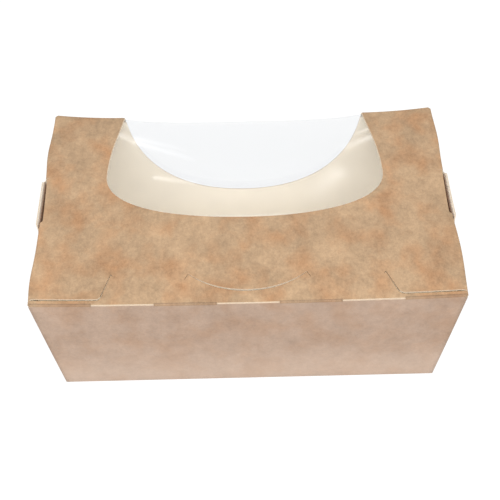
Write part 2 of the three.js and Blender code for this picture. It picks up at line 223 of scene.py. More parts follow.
class SaladBoxColours(bpy.types.PropertyGroup):
    """Colours of the board's faces, its cut edges and the floor."""

    # Painted light and shade: the lid and the tray are one kraft board. Their colours differ only as light
    # falls: the lid's is warmer, as if lit from above, and the tray's is greyer and darker, as if in shade.
    lit_lid_pale: colour_property("Pale lid kraft", "Pale clouds of the lid", "#AA8E70")
    lit_lid_warm: colour_property("Warm lid kraft", "Warm clouds of the lid", "#AA825F")
    shaded_tray_pale: colour_property("Pale tray kraft", "Pale clouds of the tray", "#9D8776")
    shaded_tray_warm: colour_property("Warm tray kraft", "Warm clouds of the tray", "#997E69")
    # Painted shade: the crease kraft is a darker copy of the lid's. It stands in for shade on the hinge
    # fold's webs and on the shaded slit walls.
    shaded_crease_pale: colour_property("Pale crease", "Pale stretched kraft", "#937A61")
    shaded_crease_warm: colour_property("Warm crease", "Warm stretched kraft", "#8C6D54")
    # Painted light: the foot colour makes the tray's lower edge paler and pinker, standing in for light
    # bounced up from the floor.
    foot: colour_property("Foot", "Scuffed lower edge of the tray", "#CAB6A6")
    fibre: colour_property("Fibre", "Dark fibres in the kraft", "#99724B")
    cream: colour_property("Cream", "Inside of the board", "#FFF6E6")
    cut: colour_property("Cut edge", "Cut edge of the board", "#CBBAA5")
    # Painted shade: the brown in which the slot's shade is painted.
    slot: colour_property("Slot", "Shade between an ear and its wall", "#7A3F14")
    floor: colour_property("Floor", "Studio floor", "#F4F4F4")


def size(name):
    """A size of the box in millimetres."""
    return round(getattr(bpy.context.scene.salad_box_sizes, name) * 1000, 4)


def colours():
    """The colours of the box and its floor, as linear values."""
    return bpy.context.scene.salad_box_colours


def add_node(tree, kind, values=None, links=None, **settings):
    """A node of a kind, with its settings, its socket values, and links from other nodes' sockets."""
    node = tree.nodes.new(kind)
    for key, value in settings.items():
        setattr(node, key, value)
    for key, value in (values or {}).items():
        node.inputs[key].default_value = value
    for key, socket in (links or {}).items():
        tree.links.new(socket, node.inputs[key])
    return node


def new_material(name):
    """An empty node material and its tree."""
    material = bpy.data.materials.new(name)
    material.use_nodes = True
    material.node_tree.nodes.clear()
    return material, material.node_tree


def mottled(tree, noise, span, factors, values=None, links=None):
    """A colour, in values or links, times a factor that runs between two numbers over a noise's span."""
    factor = add_node(
        tree, "ShaderNodeMapRange",
        {"From Min": span[0], "From Max": span[1], "To Min": factors[0], "To Max": factors[1]},
        {"Value": noise.outputs["Fac"]})
    return add_node(
        tree, "ShaderNodeMix", {"Factor": 1.0, **(values or {})}, {"B": factor.outputs[0], **(links or {})},
        data_type="RGBA", blend_type="MULTIPLY")


def seen_directly(tree, path):
    """1 for the rays of the camera and of reflections."""
    return add_node(
        tree, "ShaderNodeMath", operation="MAXIMUM",
        links={0: path.outputs["Is Camera Ray"], 1: path.outputs["Is Glossy Ray"]})


def kraft_material(name, pale, warm, mottle, foot):
    """Unbleached kraft liner: brown with soft warm clouds, darker and paler grain and a matt face. The
    tray's lower edge is painted paler and pinker, painted light that stands in for the floor's bounce.
    The clouds are 12 mm wide, the grain runs from 20 mm down to half a millimetre, and the fibres are
    0.8 mm long, several times their real width, so that they show."""
    material, tree = new_material(name)
    place = add_node(tree, "ShaderNodeTexCoord").outputs["Object"]
    wide = add_node(tree, "ShaderNodeMapping", {"Scale": (1.1, 0.8, 1.0)}, {"Vector": place})
    patterns = (
        {"Scale": 80.0, "Detail": 2.0, "Roughness": 0.5, "Distortion": 0.2},
        {"Scale": 48.0, "Detail": 5.5, "Roughness": 1.0},
        {"Scale": 1300.0, "Detail": 1.0, "Roughness": 0.5},
    )
    clouds, grain, fibres = (
        add_node(tree, "ShaderNodeTexNoise", pattern, {"Vector": wide.outputs[0]}) for pattern in patterns)
    warmth = add_node(
        tree, "ShaderNodeMapRange", {"From Min": 0.42, "From Max": 0.74}, {"Value": clouds.outputs["Fac"]})
    tint = add_node(
        tree, "ShaderNodeMix", {"A": pale, "B": warm}, {"Factor": warmth.outputs[0]}, data_type="RGBA")
    shade = mottled(tree, grain, (0.25, 0.75), (1 - mottle, 1 + mottle), links={"A": tint.outputs["Result"]})
    fleck = add_node(
        tree, "ShaderNodeMapRange", {"From Min": 0.62, "From Max": 0.8, "To Min": 0.0, "To Max": 0.3},
        {"Value": fibres.outputs["Fac"]})
    flecked = add_node(
        tree, "ShaderNodeMix", {"B": colours().fibre},
        {"Factor": fleck.outputs[0], "A": shade.outputs["Result"]}, data_type="RGBA")
    # Painted light: the lowest 34 mm grow paler towards the bottom, for the floor's bounce.
    height = add_node(tree, "ShaderNodeSeparateXYZ", links={"Vector": place})
    low = add_node(
        tree, "ShaderNodeMapRange", {"From Min": 0.002, "From Max": 0.034, "To Min": foot, "To Max": 0.0},
        {"Value": height.outputs["Z"]}, interpolation_type="SMOOTHSTEP")
    floor_bounce_lit = add_node(
        tree, "ShaderNodeMix", {"B": colours().foot},
        {"Factor": low.outputs[0], "A": flecked.outputs["Result"]}, data_type="RGBA")
    relief = add_node(
        tree, "ShaderNodeBump", {"Strength": 0.2, "Distance": 0.00006}, {"Height": grain.outputs["Fac"]})
    surface = add_node(
        tree, "ShaderNodeBsdfPrincipled", {"Roughness": 0.82, "IOR": 1.47, "Specular IOR Level": 0.3},
        {"Base Color": floor_bounce_lit.outputs["Result"], "Normal": relief.outputs[0]})
    add_node(tree, "ShaderNodeOutputMaterial", links={"Surface": surface.outputs[0]})
    return material


def cream_material():
    """Smooth cream inner liner: pale, faintly cloudy and a little glossier than the outside, with
    brown painted shade in the slots beside the ears. The clouds are 14 mm wide."""
    material, tree = new_material("cream_inner_liner")
    place = add_node(tree, "ShaderNodeTexCoord").outputs["Object"]
    cloud = add_node(
        tree, "ShaderNodeTexNoise", {"Scale": 70.0, "Detail": 3.0, "Roughness": 0.55}, {"Vector": place})
    shade = mottled(tree, cloud, (0.3, 0.7), (0.965, 1.02), {"A": colours().cream})
    deep = add_node(tree, "ShaderNodeAttribute", attribute_name="slot_shade")
    shaded = add_node(
        tree, "ShaderNodeMix", {"B": colours().slot},
        {"Factor": deep.outputs["Fac"], "A": shade.outputs["Result"]}, data_type="RGBA")
    surface = add_node(
        tree, "ShaderNodeBsdfPrincipled", {"Roughness": 0.55, "IOR": 1.47, "Specular IOR Level": 0.4},
        {"Base Color": shaded.outputs["Result"]})
    add_node(tree, "ShaderNodeOutputMaterial", links={"Surface": surface.outputs[0]})
    return material


def cut_edge_material():
    """Die-cut edge of the board: raw, pale and matt, with fibres 0.7 mm long."""
    material, tree = new_material("die_cut_board_edge")
    place = add_node(tree, "ShaderNodeTexCoord").outputs["Object"]
    fibre = add_node(tree, "ShaderNodeTexNoise", {"Scale": 1400.0, "Detail": 2.0}, {"Vector": place})
    shade = mottled(tree, fibre, (0.3, 0.7), (0.92, 1.05), {"A": colours().cut})
    surface = add_node(
        tree, "ShaderNodeBsdfPrincipled", {"Roughness": 0.9, "IOR": 1.47, "Specular IOR Level": 0.2},
        {"Base Color": shade.outputs["Result"]})
    add_node(tree, "ShaderNodeOutputMaterial", links={"Surface": surface.outputs[0]})
    return material


def film_material():
    """Clear cellulose film: see-through, glossy at a glance and milky along its few creases, which are
    partly the creases' own white and partly painted glare highlights. Its ripples are about 40 mm long."""
    material, tree = new_material("clear_cellulose_film")
    place = add_node(tree, "ShaderNodeTexCoord").outputs["Object"]
    ripple = add_node(
        tree, "ShaderNodeTexNoise", {"Scale": 24.0, "Detail": 1.0, "Roughness": 0.4, "Distortion": 0.8},
        {"Vector": place})
    wave = add_node(
        tree, "ShaderNodeBump", {"Strength": 0.3, "Distance": 0.001}, {"Height": ripple.outputs["Fac"]})
    clear = add_node(tree, "ShaderNodeBsdfTransparent", {"Color": (0.979, 0.983, 0.987, 1)})
    gloss = add_node(
        tree, "ShaderNodeBsdfGlossy", {"Color": (1, 1, 1, 1), "Roughness": 0.1}, {"Normal": wave.outputs[0]})
    facing = add_node(tree, "ShaderNodeLayerWeight", {"Blend": 0.5}, {"Normal": wave.outputs[0]})
    grazing = add_node(tree, "ShaderNodeMath", {1: 5.0}, {0: facing.outputs["Facing"]}, operation="POWER")
    shine = add_node(
        tree, "ShaderNodeMapRange", {"To Min": 0.04, "To Max": 1.0}, {"Value": grazing.outputs[0]})
    glossy = add_node(
        tree, "ShaderNodeMixShader", links={0: shine.outputs[0], 1: clear.outputs[0], 2: gloss.outputs[0]})
    # Partly painted highlight: white added along the creases stands in for glare on the film.
    creased = add_node(tree, "ShaderNodeAttribute", attribute_name="crease")
    crease_white_and_glare = add_node(tree, "ShaderNodeBsdfDiffuse", links={"Color": creased.outputs["Fac"]})
    surface = add_node(tree, "ShaderNodeAddShader", links={0: glossy.outputs[0], 1: crease_white_and_glare.outputs[0]})
    add_node(tree, "ShaderNodeOutputMaterial", links={"Surface": surface.outputs[0]})
    return material


def board_materials(part):
    """The three finishes of the board, made once each: the part's kraft, and the shared inside and cut
    edge."""
    palette = colours()
    kraft = {
        # The lid and tray kraft are lit and shaded copies of one board, painted light and shade.
        "lid": ("kraft_liner_lid", palette.lit_lid_pale, palette.lit_lid_warm, 0.38, 0.0),
        "tray": ("kraft_liner_tray", palette.shaded_tray_pale, palette.shaded_tray_warm, 0.22, 0.36),
        # Painted shade: a darker copy of the lid kraft, for the hinge webs and the shaded slit walls.
        "crease": ("kraft_liner_creased", palette.shaded_crease_pale, palette.shaded_crease_warm, 0.3, 0.0),
    }[part]
    found = [bpy.data.materials.get(name) for name in (kraft[0], "cream_inner_liner", "die_cut_board_edge")]
    makers = (lambda: kraft_material(*kraft), cream_material, cut_edge_material)
    return [material or make() for material, make in zip(found, makers)]


def write_mesh(name, points, faces, finishes, finish_of_face):
    """A mesh object from points in millimetres. Edges between two finishes stay sharp."""
    mesh = bpy.data.meshes.new(name)
    faces = np.asarray(faces, dtype=np.int32)
    corners = faces.shape[1]
    mesh.vertices.add(len(points))
    mesh.vertices.foreach_set("co", (np.asarray(points, dtype=np.float64) * 0.001).ravel())
    mesh.loops.add(faces.size)
    mesh.loops.foreach_set("vertex_index", faces.ravel())
    mesh.polygons.add(len(faces))
    mesh.polygons.foreach_set("loop_start", np.arange(len(faces), dtype=np.int32) * corners)
    for finish in finishes:
        mesh.materials.append(finish)
    which = np.asarray(finish_of_face, dtype=np.int32)
    mesh.polygons.foreach_set("material_index", which)
    mesh.polygons.foreach_set("use_smooth", np.full(len(faces), True))
    mesh.update(calc_edges=True)
    edge_of_loop = np.empty(faces.size, dtype=np.int32)
    mesh.loops.foreach_get("edge_index", edge_of_loop)
    low = np.full(len(mesh.edges), len(finishes))
    high = np.full(len(mesh.edges), -1)
    np.minimum.at(low, edge_of_loop, np.repeat(which, corners))
    np.maximum.at(high, edge_of_loop, np.repeat(which, corners))
    mesh.edges.foreach_set("use_edge_sharp", low != high)
    mesh.validate()
    piece = bpy.data.objects.new(name, mesh)
    bpy.context.scene.collection.objects.link(piece)
    return piece


def bezier(start, first, second, end, count):
    """Points on a cubic curve through start and end, pulled towards the two handles between them."""
    t = np.linspace(0, 1, count)[:, None]
    start, first, second, end = (np.array(p, dtype=float) for p in (start, first, second, end))
    return (1 - t) ** 3 * start + 3 * (1 - t) ** 2 * t * first + 3 * (1 - t) * t ** 2 * second + t ** 3 * end


def resample(path, step, closed=False):
    """Points at even distances along a polyline, at most step apart, with every corner kept."""
    path = np.asarray(path, dtype=float)
    ends = np.roll(path, -1, axis=0) if closed else path[1:]
    starts = path if closed else path[:-1]
    rows = []
    for a, b in zip(starts, ends):
        count = max(1, int(math.ceil(np.linalg.norm(b - a) / step)))
        rows.append(a + (b - a) * (np.arange(count) / count)[:, None])
    if not closed:
        rows.append(path[-1:])
    return np.concatenate(rows)


def inside(points, loop):
    """True for the points inside a closed loop, by counting the edges crossed on the way out."""
    x, y = points[:, 0][:, None], points[:, 1][:, None]
    a, b = loop, np.roll(loop, -1, axis=0)
    spans = (a[:, 1] > y) != (b[:, 1] > y)
    rise = np.where(b[:, 1] == a[:, 1], 1e-12, b[:, 1] - a[:, 1])
    crossing = (b[:, 0] - a[:, 0]) * (y - a[:, 1]) / rise + a[:, 0]
    return (np.sum(spans & (x < crossing), axis=1) % 2) == 1


def cut_blank(outline, holes, step, lines):
    """Flat board with holes, as points and triangles: the points of its cuts, of a staggered grid and
    of the given lines, in a Delaunay triangulation that keeps every cut."""
    loops = [outline, *holes]
    low, high = outline.min(axis=0), outline.max(axis=0)
    across = np.arange(low[0] + step / 2, high[0], step)
    along = np.arange(low[1] + step / 2, high[1], step)
    grid = np.stack(np.meshgrid(across, along), axis=-1)
    grid[1::2, :, 0] += step / 2
    grid = np.concatenate([grid.reshape(-1, 2), *lines])
    keep = inside(grid, outline)
    for hole in holes:
        keep &= ~inside(grid, hole)
    grid = grid[keep]
    rim = np.concatenate(loops)
    near = np.array([np.min(np.sum((rim - p) ** 2, axis=1)) for p in grid])
    grid = grid[near > (CLEAR_OF_CUT * step) ** 2]
    points = np.concatenate([rim, grid])
    edges = []
    start = 0
    for loop in loops:
        numbers = np.arange(start, start + len(loop))
        edges += list(zip(numbers.tolist(), np.roll(numbers, -1).tolist()))
        start += len(loop)
    found = delaunay_2d_cdt([Vector(p) for p in points], edges, [], 0, MERGE)
    flat = np.array([tuple(p) for p in found[0]])
    triangles = np.array(found[2], dtype=np.int32)
    middle = flat[triangles].mean(axis=1)
    keep = inside(middle, outline)
    for hole in holes:
        keep &= ~inside(middle, hole)
    triangles = triangles[keep]
    corners = flat[triangles]
    turn = np.cross(corners[:, 1] - corners[:, 0], corners[:, 2] - corners[:, 0])
    triangles[turn < 0] = triangles[turn < 0][:, ::-1]
    return flat, triangles[np.abs(turn) > SLIVER]


def on_loop(points, loop):
    """True for the points that are points of a loop."""
    return np.min(np.linalg.norm(points[:, None] - loop[None], axis=2), axis=1) < ON_RIM


def board_from_blank(name, part, flat, triangles, place, crush, painted_shade_cut):
    """Board from a flat blank: place(flat, depth) puts the outside at depth 0 and the inside at the
    board's depth, and edges of one triangle alone get a wall. crush is each point's shift between
    the two, where a cut slants, and the last argument marks the points where the cut wall is
    painted brown with the crease kraft, a painted shade in the slit."""
    used = np.unique(triangles)
    number = np.full(len(flat), -1)
    number[used] = np.arange(len(used))
    flat, triangles, crush, painted_shade_cut = flat[used], number[triangles], crush[used], painted_shade_cut[used]
    count = len(flat)
    outer, inner = place(flat, 0.0), place(flat + crush, BOARD)
    pairs = np.concatenate([triangles[:, [0, 1]], triangles[:, [1, 2]], triangles[:, [2, 0]]])
    forward = pairs[:, 0] * count + pairs[:, 1]
    backward = pairs[:, 1] * count + pairs[:, 0]
    rim = pairs[~np.isin(backward, forward)]
    a, b = rim[:, 0], rim[:, 1]
    wall = np.concatenate([np.stack([b, a, a + count], 1), np.stack([b, a + count, b + count], 1)])
    faces = np.concatenate([triangles, triangles[:, ::-1] + count, wall])
    # Cut walls between two marked points take the crease kraft, a painted shade in the slit.
    brown = np.tile(np.where(painted_shade_cut[a] & painted_shade_cut[b], 3, 2), 2)
    finish = np.concatenate([np.zeros(len(triangles)), np.ones(len(triangles)), brown]).astype(int)
    finishes = board_materials(part) + board_materials("crease")[:1]
    return write_mesh(name, np.concatenate([outer, inner]), faces, finishes, finish)


def sheet(outer, inner):
    """A thin closed sheet between two matching grids of points. It gives the points, the four-cornered
    faces and each face's side: 0 outside, 1 inside, 2 rim."""
    across, along = outer.shape[:2]
    number = np.arange(across * along).reshape(across, along)
    quads = np.stack([number[:-1, :-1], number[1:, :-1], number[1:, 1:], number[:-1, 1:]], -1).reshape(-1, 4)
    rim = np.concatenate([number[:-1, 0], number[-1, :-1], number[:0:-1, -1], number[0, :0:-1]])
    after = np.roll(rim, -1)
    wall = np.stack([after, rim, rim + across * along, after + across * along], 1)
    faces = np.concatenate([quads, quads[:, ::-1] + across * along, wall])
    which = np.repeat([0, 1, 2], [len(quads), len(quads), len(wall)])
    return np.concatenate([outer.reshape(-1, 3), inner.reshape(-1, 3)]), faces, which


def joined(sheets):
    """Several sheets as one: their points, faces and sides put together."""
    starts = np.cumsum([0] + [len(points) for points, _, _ in sheets[:-1]])
    faces = np.concatenate([part[1] + start for part, start in zip(sheets, starts)])
    return np.concatenate([part[0] for part in sheets]), faces, np.concatenate([part[2] for part in sheets])


def lid_height(x, y):
    """The lid's upper face. The hinge edge sags as a parabola that fades out over two fifths of the
    depth. The sag of the front fold grows with the cube of the depth. A faint wave is a product of
    two sines."""
    across = np.clip((np.abs(x) / HALF_W - SAG_END) / (1 - SAG_END), 0, 1)
    along = np.clip((y - HINGE_Y) / DEPTH, 0, 1)
    back_sag = size("edge_sag") * np.clip(1 - (x / HALF_W) ** 2, 0, 1) * np.clip(1 - along * 2.5, 0, 1) ** 2
    front_sag = size("front_sag") * (1 - across ** 2) * along ** 3
    ripple = np.sin(x * WAVE["x"] + WAVE["x_shift"]) * np.sin(y * WAVE["y"] + WAVE["y_shift"])
    wave = WAVE["height"] * ripple * np.clip(along * 4, 0, 1) * (1 - across)
    return TOP - LID_DROP - back_sag - front_sag + wave


def edge_bow(side, v):
    """How far a side edge bows out, at a distance v from the hinge: the sum of its bows, each a bell
    curve."""
    left, right = (
        sum(rise * np.exp(-((v - middle) / span) ** 2) for middle, span, rise in EDGE_BOWS[key])
        for key in (-1, 1))
    return np.where(side < 0, left, right)


def window_loop():
    """The window in the flat lid blank: three cubic curves to each side, for the wide rounded end
    towards the hinge, the side up to the front fold, and the deep scoop past it."""
    half, fold = WINDOW["half"], WINDOW["fold"]
    back, widest = WINDOW["back"], WINDOW["widest"]
    front = DEPTH + WINDOW["front"] / math.cos(APRON_TAPER)
    shoulder = DEPTH + WINDOW["front"] * FULL["shoulder"]
    corner = (half, back + WINDOW["back"] * FULL["corner"])
    side = (half, widest + (DEPTH - widest) * FULL["side"])
    above_fold = (fold + WINDOW["fold_lean"], DEPTH - WINDOW["fold_turn"])
    below_fold = (fold * FULL["shoulder_in"], shoulder)
    right = np.concatenate([
        bezier((0, back), (half * FULL["back"], back), corner, (half, widest), 40)[:-1],
        bezier((half, widest), side, above_fold, (fold, DEPTH), 30)[:-1],
        bezier((fold, DEPTH), below_fold, (fold * FULL["lip"], front), (0, front), 50),
    ])
    left = right[1:-1][::-1] * (-1, 1)
    return np.concatenate([right, left])


def corner_slit(side):
    """Centre line of the slit round a lid corner: in from the side, round a cubic bend, up to its apex."""
    c = CORNER_SLIT[side]
    bend = np.array((c["reach"], c["setback"]))
    apex = np.array((c["apex"], c["rise"]))
    up = (apex - bend) / np.linalg.norm(apex - bend)
    first, last = bend + (c["round"], 0), bend + up * c["round"]
    turn = bezier(first, first + (bend - first) * 0.67, last + (bend - last) * 0.67, last, 9)
    start = (HALF_W + SLIT_START[0], c["setback"] + SLIT_START[1])
    line = np.concatenate([[start], turn, [apex]])
    return line * (side, 1)


def tongue_slit():
    """Centre line of the curved slit round the tongue: one arc through both apexes and the tip."""
    sagitta = TONGUE["rise"] - TONGUE["tip"]
    radius = (TONGUE["half"] ** 2 + sagitta ** 2) / (2 * sagitta)
    sweep = math.asin(TONGUE["half"] / radius)
    angle = np.linspace(-sweep, sweep, 33)
    return np.stack([radius * np.sin(angle), TONGUE["tip"] + radius * (1 - np.cos(angle))], 1)


def with_hook(line, at_end, sideways, length):
    """A slit's line with its hook, a short turn back at the apex that stops a tear. It runs straight
    back and drifts sideways with the power 1.4 of its length."""
    apex = line[-1] if at_end else line[0]
    t = np.linspace(0.2, 1, 4)[:, None]
    hook = apex + length * np.concatenate([sideways * HOOK["spread"] * t ** 1.4, -t], axis=1)
    return np.concatenate([line, hook]) if at_end else np.concatenate([hook[::-1], line])


def ribbon(line, width):
    """A closed narrow loop round an open line: the line moved half the width to each side, less at its
    ends."""
    step = np.gradient(line, axis=0)
    normal = np.stack([-step[:, 1], step[:, 0]], 1) / np.linalg.norm(step, axis=1)[:, None]
    taper = np.full(len(line), 1.0)
    taper[[0, -1]] = 0.7
    shift = normal * width / 2 * taper[:, None]
    return np.concatenate([line + shift, (line - shift)[::-1]])


def slit_rise(flat):
    """How far the board inside each slit stands proud: a power of the share of the way from the line
    through its apexes to the slit. The strip outside a corner slit sinks in a straight slope."""
    u, v = flat[:, 0], flat[:, 1]
    rise = np.zeros(len(flat))
    for side in (-1, 1):
        line = corner_slit(side)
        c = CORNER_SLIT[side]
        out = side * (HALF_W + PAST)
        loop = np.concatenate([line, [(side * c["apex"], PAST), (out, PAST), (out, c["setback"])]])
        share = np.clip((c["rise"] - v) / (c["rise"] - c["setback"]), 0, 1)
        lifted = inside(flat, loop)
        rise += np.where(lifted, size("corner_lift") * share ** 1.3, 0)
        strip = ~lifted & (v < c["setback"] + STRIP["edge"])
        slope = np.clip((side * u - c["reach"]) / STRIP["length"], 0, 1)
        rise -= np.where(strip, size("strip_drop") * slope, 0)
    line = tongue_slit()
    loop = np.concatenate([line, [(TONGUE["half"], PAST), (-TONGUE["half"], PAST)]])
    share = np.clip((TONGUE["rise"] - v) / (TONGUE["rise"] - TONGUE["tip"]), 0, 1)
    return rise + np.where(inside(flat, loop), size("tongue_lift") * share ** 1.2, 0)


def fold_down(past, taper):
    """Where a point lies beside a fold, for a distance past it: outwards and down on an arc through
    the fold's span and straight on from there, and the angle turned through."""
    turn = math.pi / 2 + taper
    share = np.clip((past + FOLD_SPAN) / (2 * FOLD_SPAN), 0, 1)
    angle = share * turn
    beyond = np.clip(past - FOLD_SPAN, 0, None)
    out = FOLD_ROUND * np.sin(angle) + beyond * math.cos(turn)
    down = FOLD_ROUND * (1 - np.cos(angle)) + beyond * math.sin(turn)
    return out, down, angle


def place_lid(flat, depth):
    """Folds the flat lid blank: ears turn down past the sides, the apron past the front, the rest
    stays up. The ears curl in with the square of their length, and the hinge corners are pulled in."""
    u, v = flat[:, 0], flat[:, 1]
    side = np.sign(u)
    past_side, past_front = np.abs(u) - HALF_W + FOLD_SPAN, v - DEPTH + FOLD_SPAN
    out_x, down_x, angle_x = fold_down(past_side, EAR_TAPER)
    out_y, down_y, angle_y = fold_down(past_front, APRON_TAPER)
    flat_w, flat_d = HALF_W - 2 * FOLD_SPAN, DEPTH - 2 * FOLD_SPAN
    x0 = np.minimum(np.abs(u), flat_w) * (HALF_W - FOLD_ROUND) / flat_w
    y0 = np.minimum(v, flat_d) * (DEPTH - FOLD_ROUND) / flat_d
    folded_x, folded_y = past_side > -FOLD_SPAN, past_front > -FOLD_SPAN
    x = np.where(folded_x, x0 + out_x, x0)
    y = np.where(folded_y, y0 + out_y, y0)
    z = lid_height(side * x0, HINGE_Y + y0) - np.where(folded_x, down_x, 0) - np.where(folded_y, down_y, 0)
    z = z + np.where(folded_x | folded_y, 0, slit_rise(flat))
    angle = np.where(folded_x, angle_x, 0) + np.where(folded_y, angle_y, 0)
    x = x - depth * np.where(folded_x, np.sin(angle_x), 0)
    x = x - EAR["bend"] * np.clip(past_side - FOLD_SPAN, 0, None) ** 2
    x = x + edge_bow(side, v) * np.clip(x / HALF_W, 0, 1) ** 8
    y = y - depth * np.where(folded_y, np.sin(angle_y), 0)
    y = y + CORNER_PULL * np.clip(np.abs(u) / HALF_W, 0, 1) ** 4 * np.clip(1 - v / CORNER_PULL_END, 0, 1)
    z = z - depth * np.cos(angle)
    return np.stack([side * x, HINGE_Y + y, z], 1)


def lid_outline():
    """Outline of the flat lid blank, from the hinge edge round the right ear and the apron to the left
    ear. The ends of an ear and the corner of the apron are cubic curves."""
    edge = BOARD + WEB_DROP
    first, last = EAR["back"], DEPTH - EAR["front"]
    root, tip = HALF_W + EAR["foot"], HALF_W + EAR["length"]
    clip, lean, turn = EAR["clip"], EAR["lean"], EAR["turn"]
    foot = HALF_W - APRON["length"] * TAPER
    low = DEPTH + APRON["length"]
    corner = (
        (foot + APRON["lean"], low - APRON["round"]), (foot, low - APRON["turn"]),
        (foot - APRON["turn"], low), (foot - APRON["round"], low))
    right = np.concatenate([
        [(0, edge), (HALF_W, edge), (HALF_W, first)],
        bezier((HALF_W, first), (root, first + lean), (tip, first + turn), (tip, first + clip), 12),
        bezier((tip, last - clip), (tip, last - turn), (root, last - lean), (HALF_W, last), 12),
        [(HALF_W, DEPTH)],
        bezier(*corner, 10),
    ])
    left = right[1:][::-1] * (-1, 1)
    return resample(np.concatenate([right, left]), STEP["outline"], closed=True)


def notch_loop(side):
    """The thumb notch across an ear's fold: a box that is deeper towards the hinge and rounded there,
    with a short slit in from its other end."""
    n = NOTCH
    middle = n["middle"] - HINGE_Y
    low, high = middle - n["half"], middle + n["half"]
    back, front, far = HALF_W - n["back_depth"], HALF_W - n["front_depth"], HALF_W + n["drop"]
    slit = [(front, high), (front - n["slit"], high + n["slant"]), (front, high - size("slit_width"))]
    ends = (back, low + n["round"]), (back + n["round"], low)
    turns = (back, low + n["turn"]), (back + n["turn"], low)
    loop = np.concatenate([[(far, low), (far, high), *slit], bezier(ends[0], *turns, ends[1], 6)])
    return resample(loop, STEP["loop"], closed=True) * (side, 1)


class SALADBOX_OT_lid(bpy.types.Operator):
    """Folded lid, as a flat blank with its cuts, triangulated and folded: top, two ears and the apron"""

    bl_idname = "saladbox.lid"
    bl_label = "Lid"

    def execute(self, context):
        width = size("slit_width")
        slits = []
        for side in (-1, 1):
            line = with_hook(corner_slit(side), True, -side, HOOK["corner"])
            slits.append(ribbon(resample(line, STEP["slit"]), width))
        line = with_hook(with_hook(tongue_slit(), True, 1, HOOK["tongue"]), False, -1, HOOK["tongue"])
        slits.append(ribbon(line, width))
        window = resample(window_loop(), STEP["loop"], closed=True)
        holes = [window, notch_loop(-1), notch_loop(1), slits[2], *slits[:2]]
        folds = []
        run = np.arange(-HALF_W, HALF_W, FOLD_STEP)
        climb = np.arange(FOLD_MARGIN, DEPTH - FOLD_MARGIN, FOLD_STEP)
        for k in FOLD_ROWS:
            folds.append(np.stack([run, np.full(len(run), DEPTH + k * FOLD_SPAN)], 1))
            for side in (-1, 1):
                folds.append(np.stack([np.full(len(climb), side * (HALF_W + k * FOLD_SPAN)), climb], 1))
        flat, triangles = cut_blank(lid_outline(), holes, size("grid"), folds)
        centre = np.array((0, WINDOW["centre"]))
        inward = (centre - flat) / np.linalg.norm(centre - flat, axis=1)[:, None]
        crush = np.where(on_loop(flat, window)[:, None], inward * size("rim_crush"), 0)
        # Slit walls away from the hinge and the middle are painted dark brown, a painted shade in the slits.
        painted_shade_cut = on_loop(flat, np.concatenate(slits))
        painted_shade_cut &= (flat[:, 1] > SLIT_PAINTED_SHADE["from"]) & (np.abs(flat[:, 0]) > SLIT_PAINTED_SHADE["half"])
        piece = board_from_blank("lid_board", "lid", flat, triangles, place_lid, crush, painted_shade_cut)
        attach(piece, "lid")
        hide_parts("lid")
        return {"FINISHED"}


def front_scoop(count):
    """The front wall's scooped edge, as matching arrays of x and height: a cubic curve, cut off at the
    wall's top."""
    fold, bottom = WINDOW["fold"], TOP - WINDOW["front"]
    shoulder = TOP - WINDOW["front"] * FULL["shoulder"]
    side = (fold * FULL["shoulder_in"], shoulder)
    curve = bezier((0, bottom), (fold * FULL["lip"], bottom), side, (fold, TOP), count)
    return curve[:, 0], np.minimum(curve[:, 1], TOP - FRONT_DROP)


def smooth(share):
    """An even ease from 0 to 1: three times the square less twice the cube."""
    return share * share * (3 - 2 * share)


def lock_share(y):
    """Where along a side wall its lock tab stands: 1 inside the notch, easing to 0 past its back end
    and to 0 at its front end."""
    low, high = NOTCH["middle"] - NOTCH["half"], NOTCH["middle"] + NOTCH["half"]
    back = np.clip((y - low) / LOCK_TAB["back_end"] + 1, 0, 1)
    front = np.clip((high - y) / LOCK_TAB["front_end"], 0, 1)
    return smooth(back) * smooth(front)


def slot_shade(points):
    """How much painted shade darkens the slot between an ear and the wall at each point: a power of the
    depth below its mouth, and a straight slope back to nothing a few millimetres down."""
    depth = TOP - SLOT_SHADE["mouth"] - points[:, 2]
    into = np.clip(depth / SLOT_SHADE["into"], 0, 1) ** 0.7
    out = np.clip((SLOT_SHADE["end"] - depth) / SLOT_SHADE["into"], 0, 1)
    beside = np.abs(points[:, 0]) > HALF_W * SLOT_SHADE["beside"]
    return SLOT_SHADE["most"] * into * out * np.where(beside, lock_share(points[:, 1]), 0)


def wall_bow(side, y, z):
    """How far a side wall stands out: its flare and the lid edge's bow, both in proportion to the
    height, and the lean of its lock tab, which grows with the power 1.5 of the height above the
    tab's foot."""
    amount = np.where(side < 0, size("left_wall_bow"), size("right_wall_bow"))
    lean = np.clip((z - TOP + LOCK_TAB["deep"]) / LOCK_TAB["deep"], 0, 1) ** 1.5
    return (SIDE_FLARE + edge_bow(side, y - HINGE_Y)) * z / TOP + amount * lock_share(y) * lean


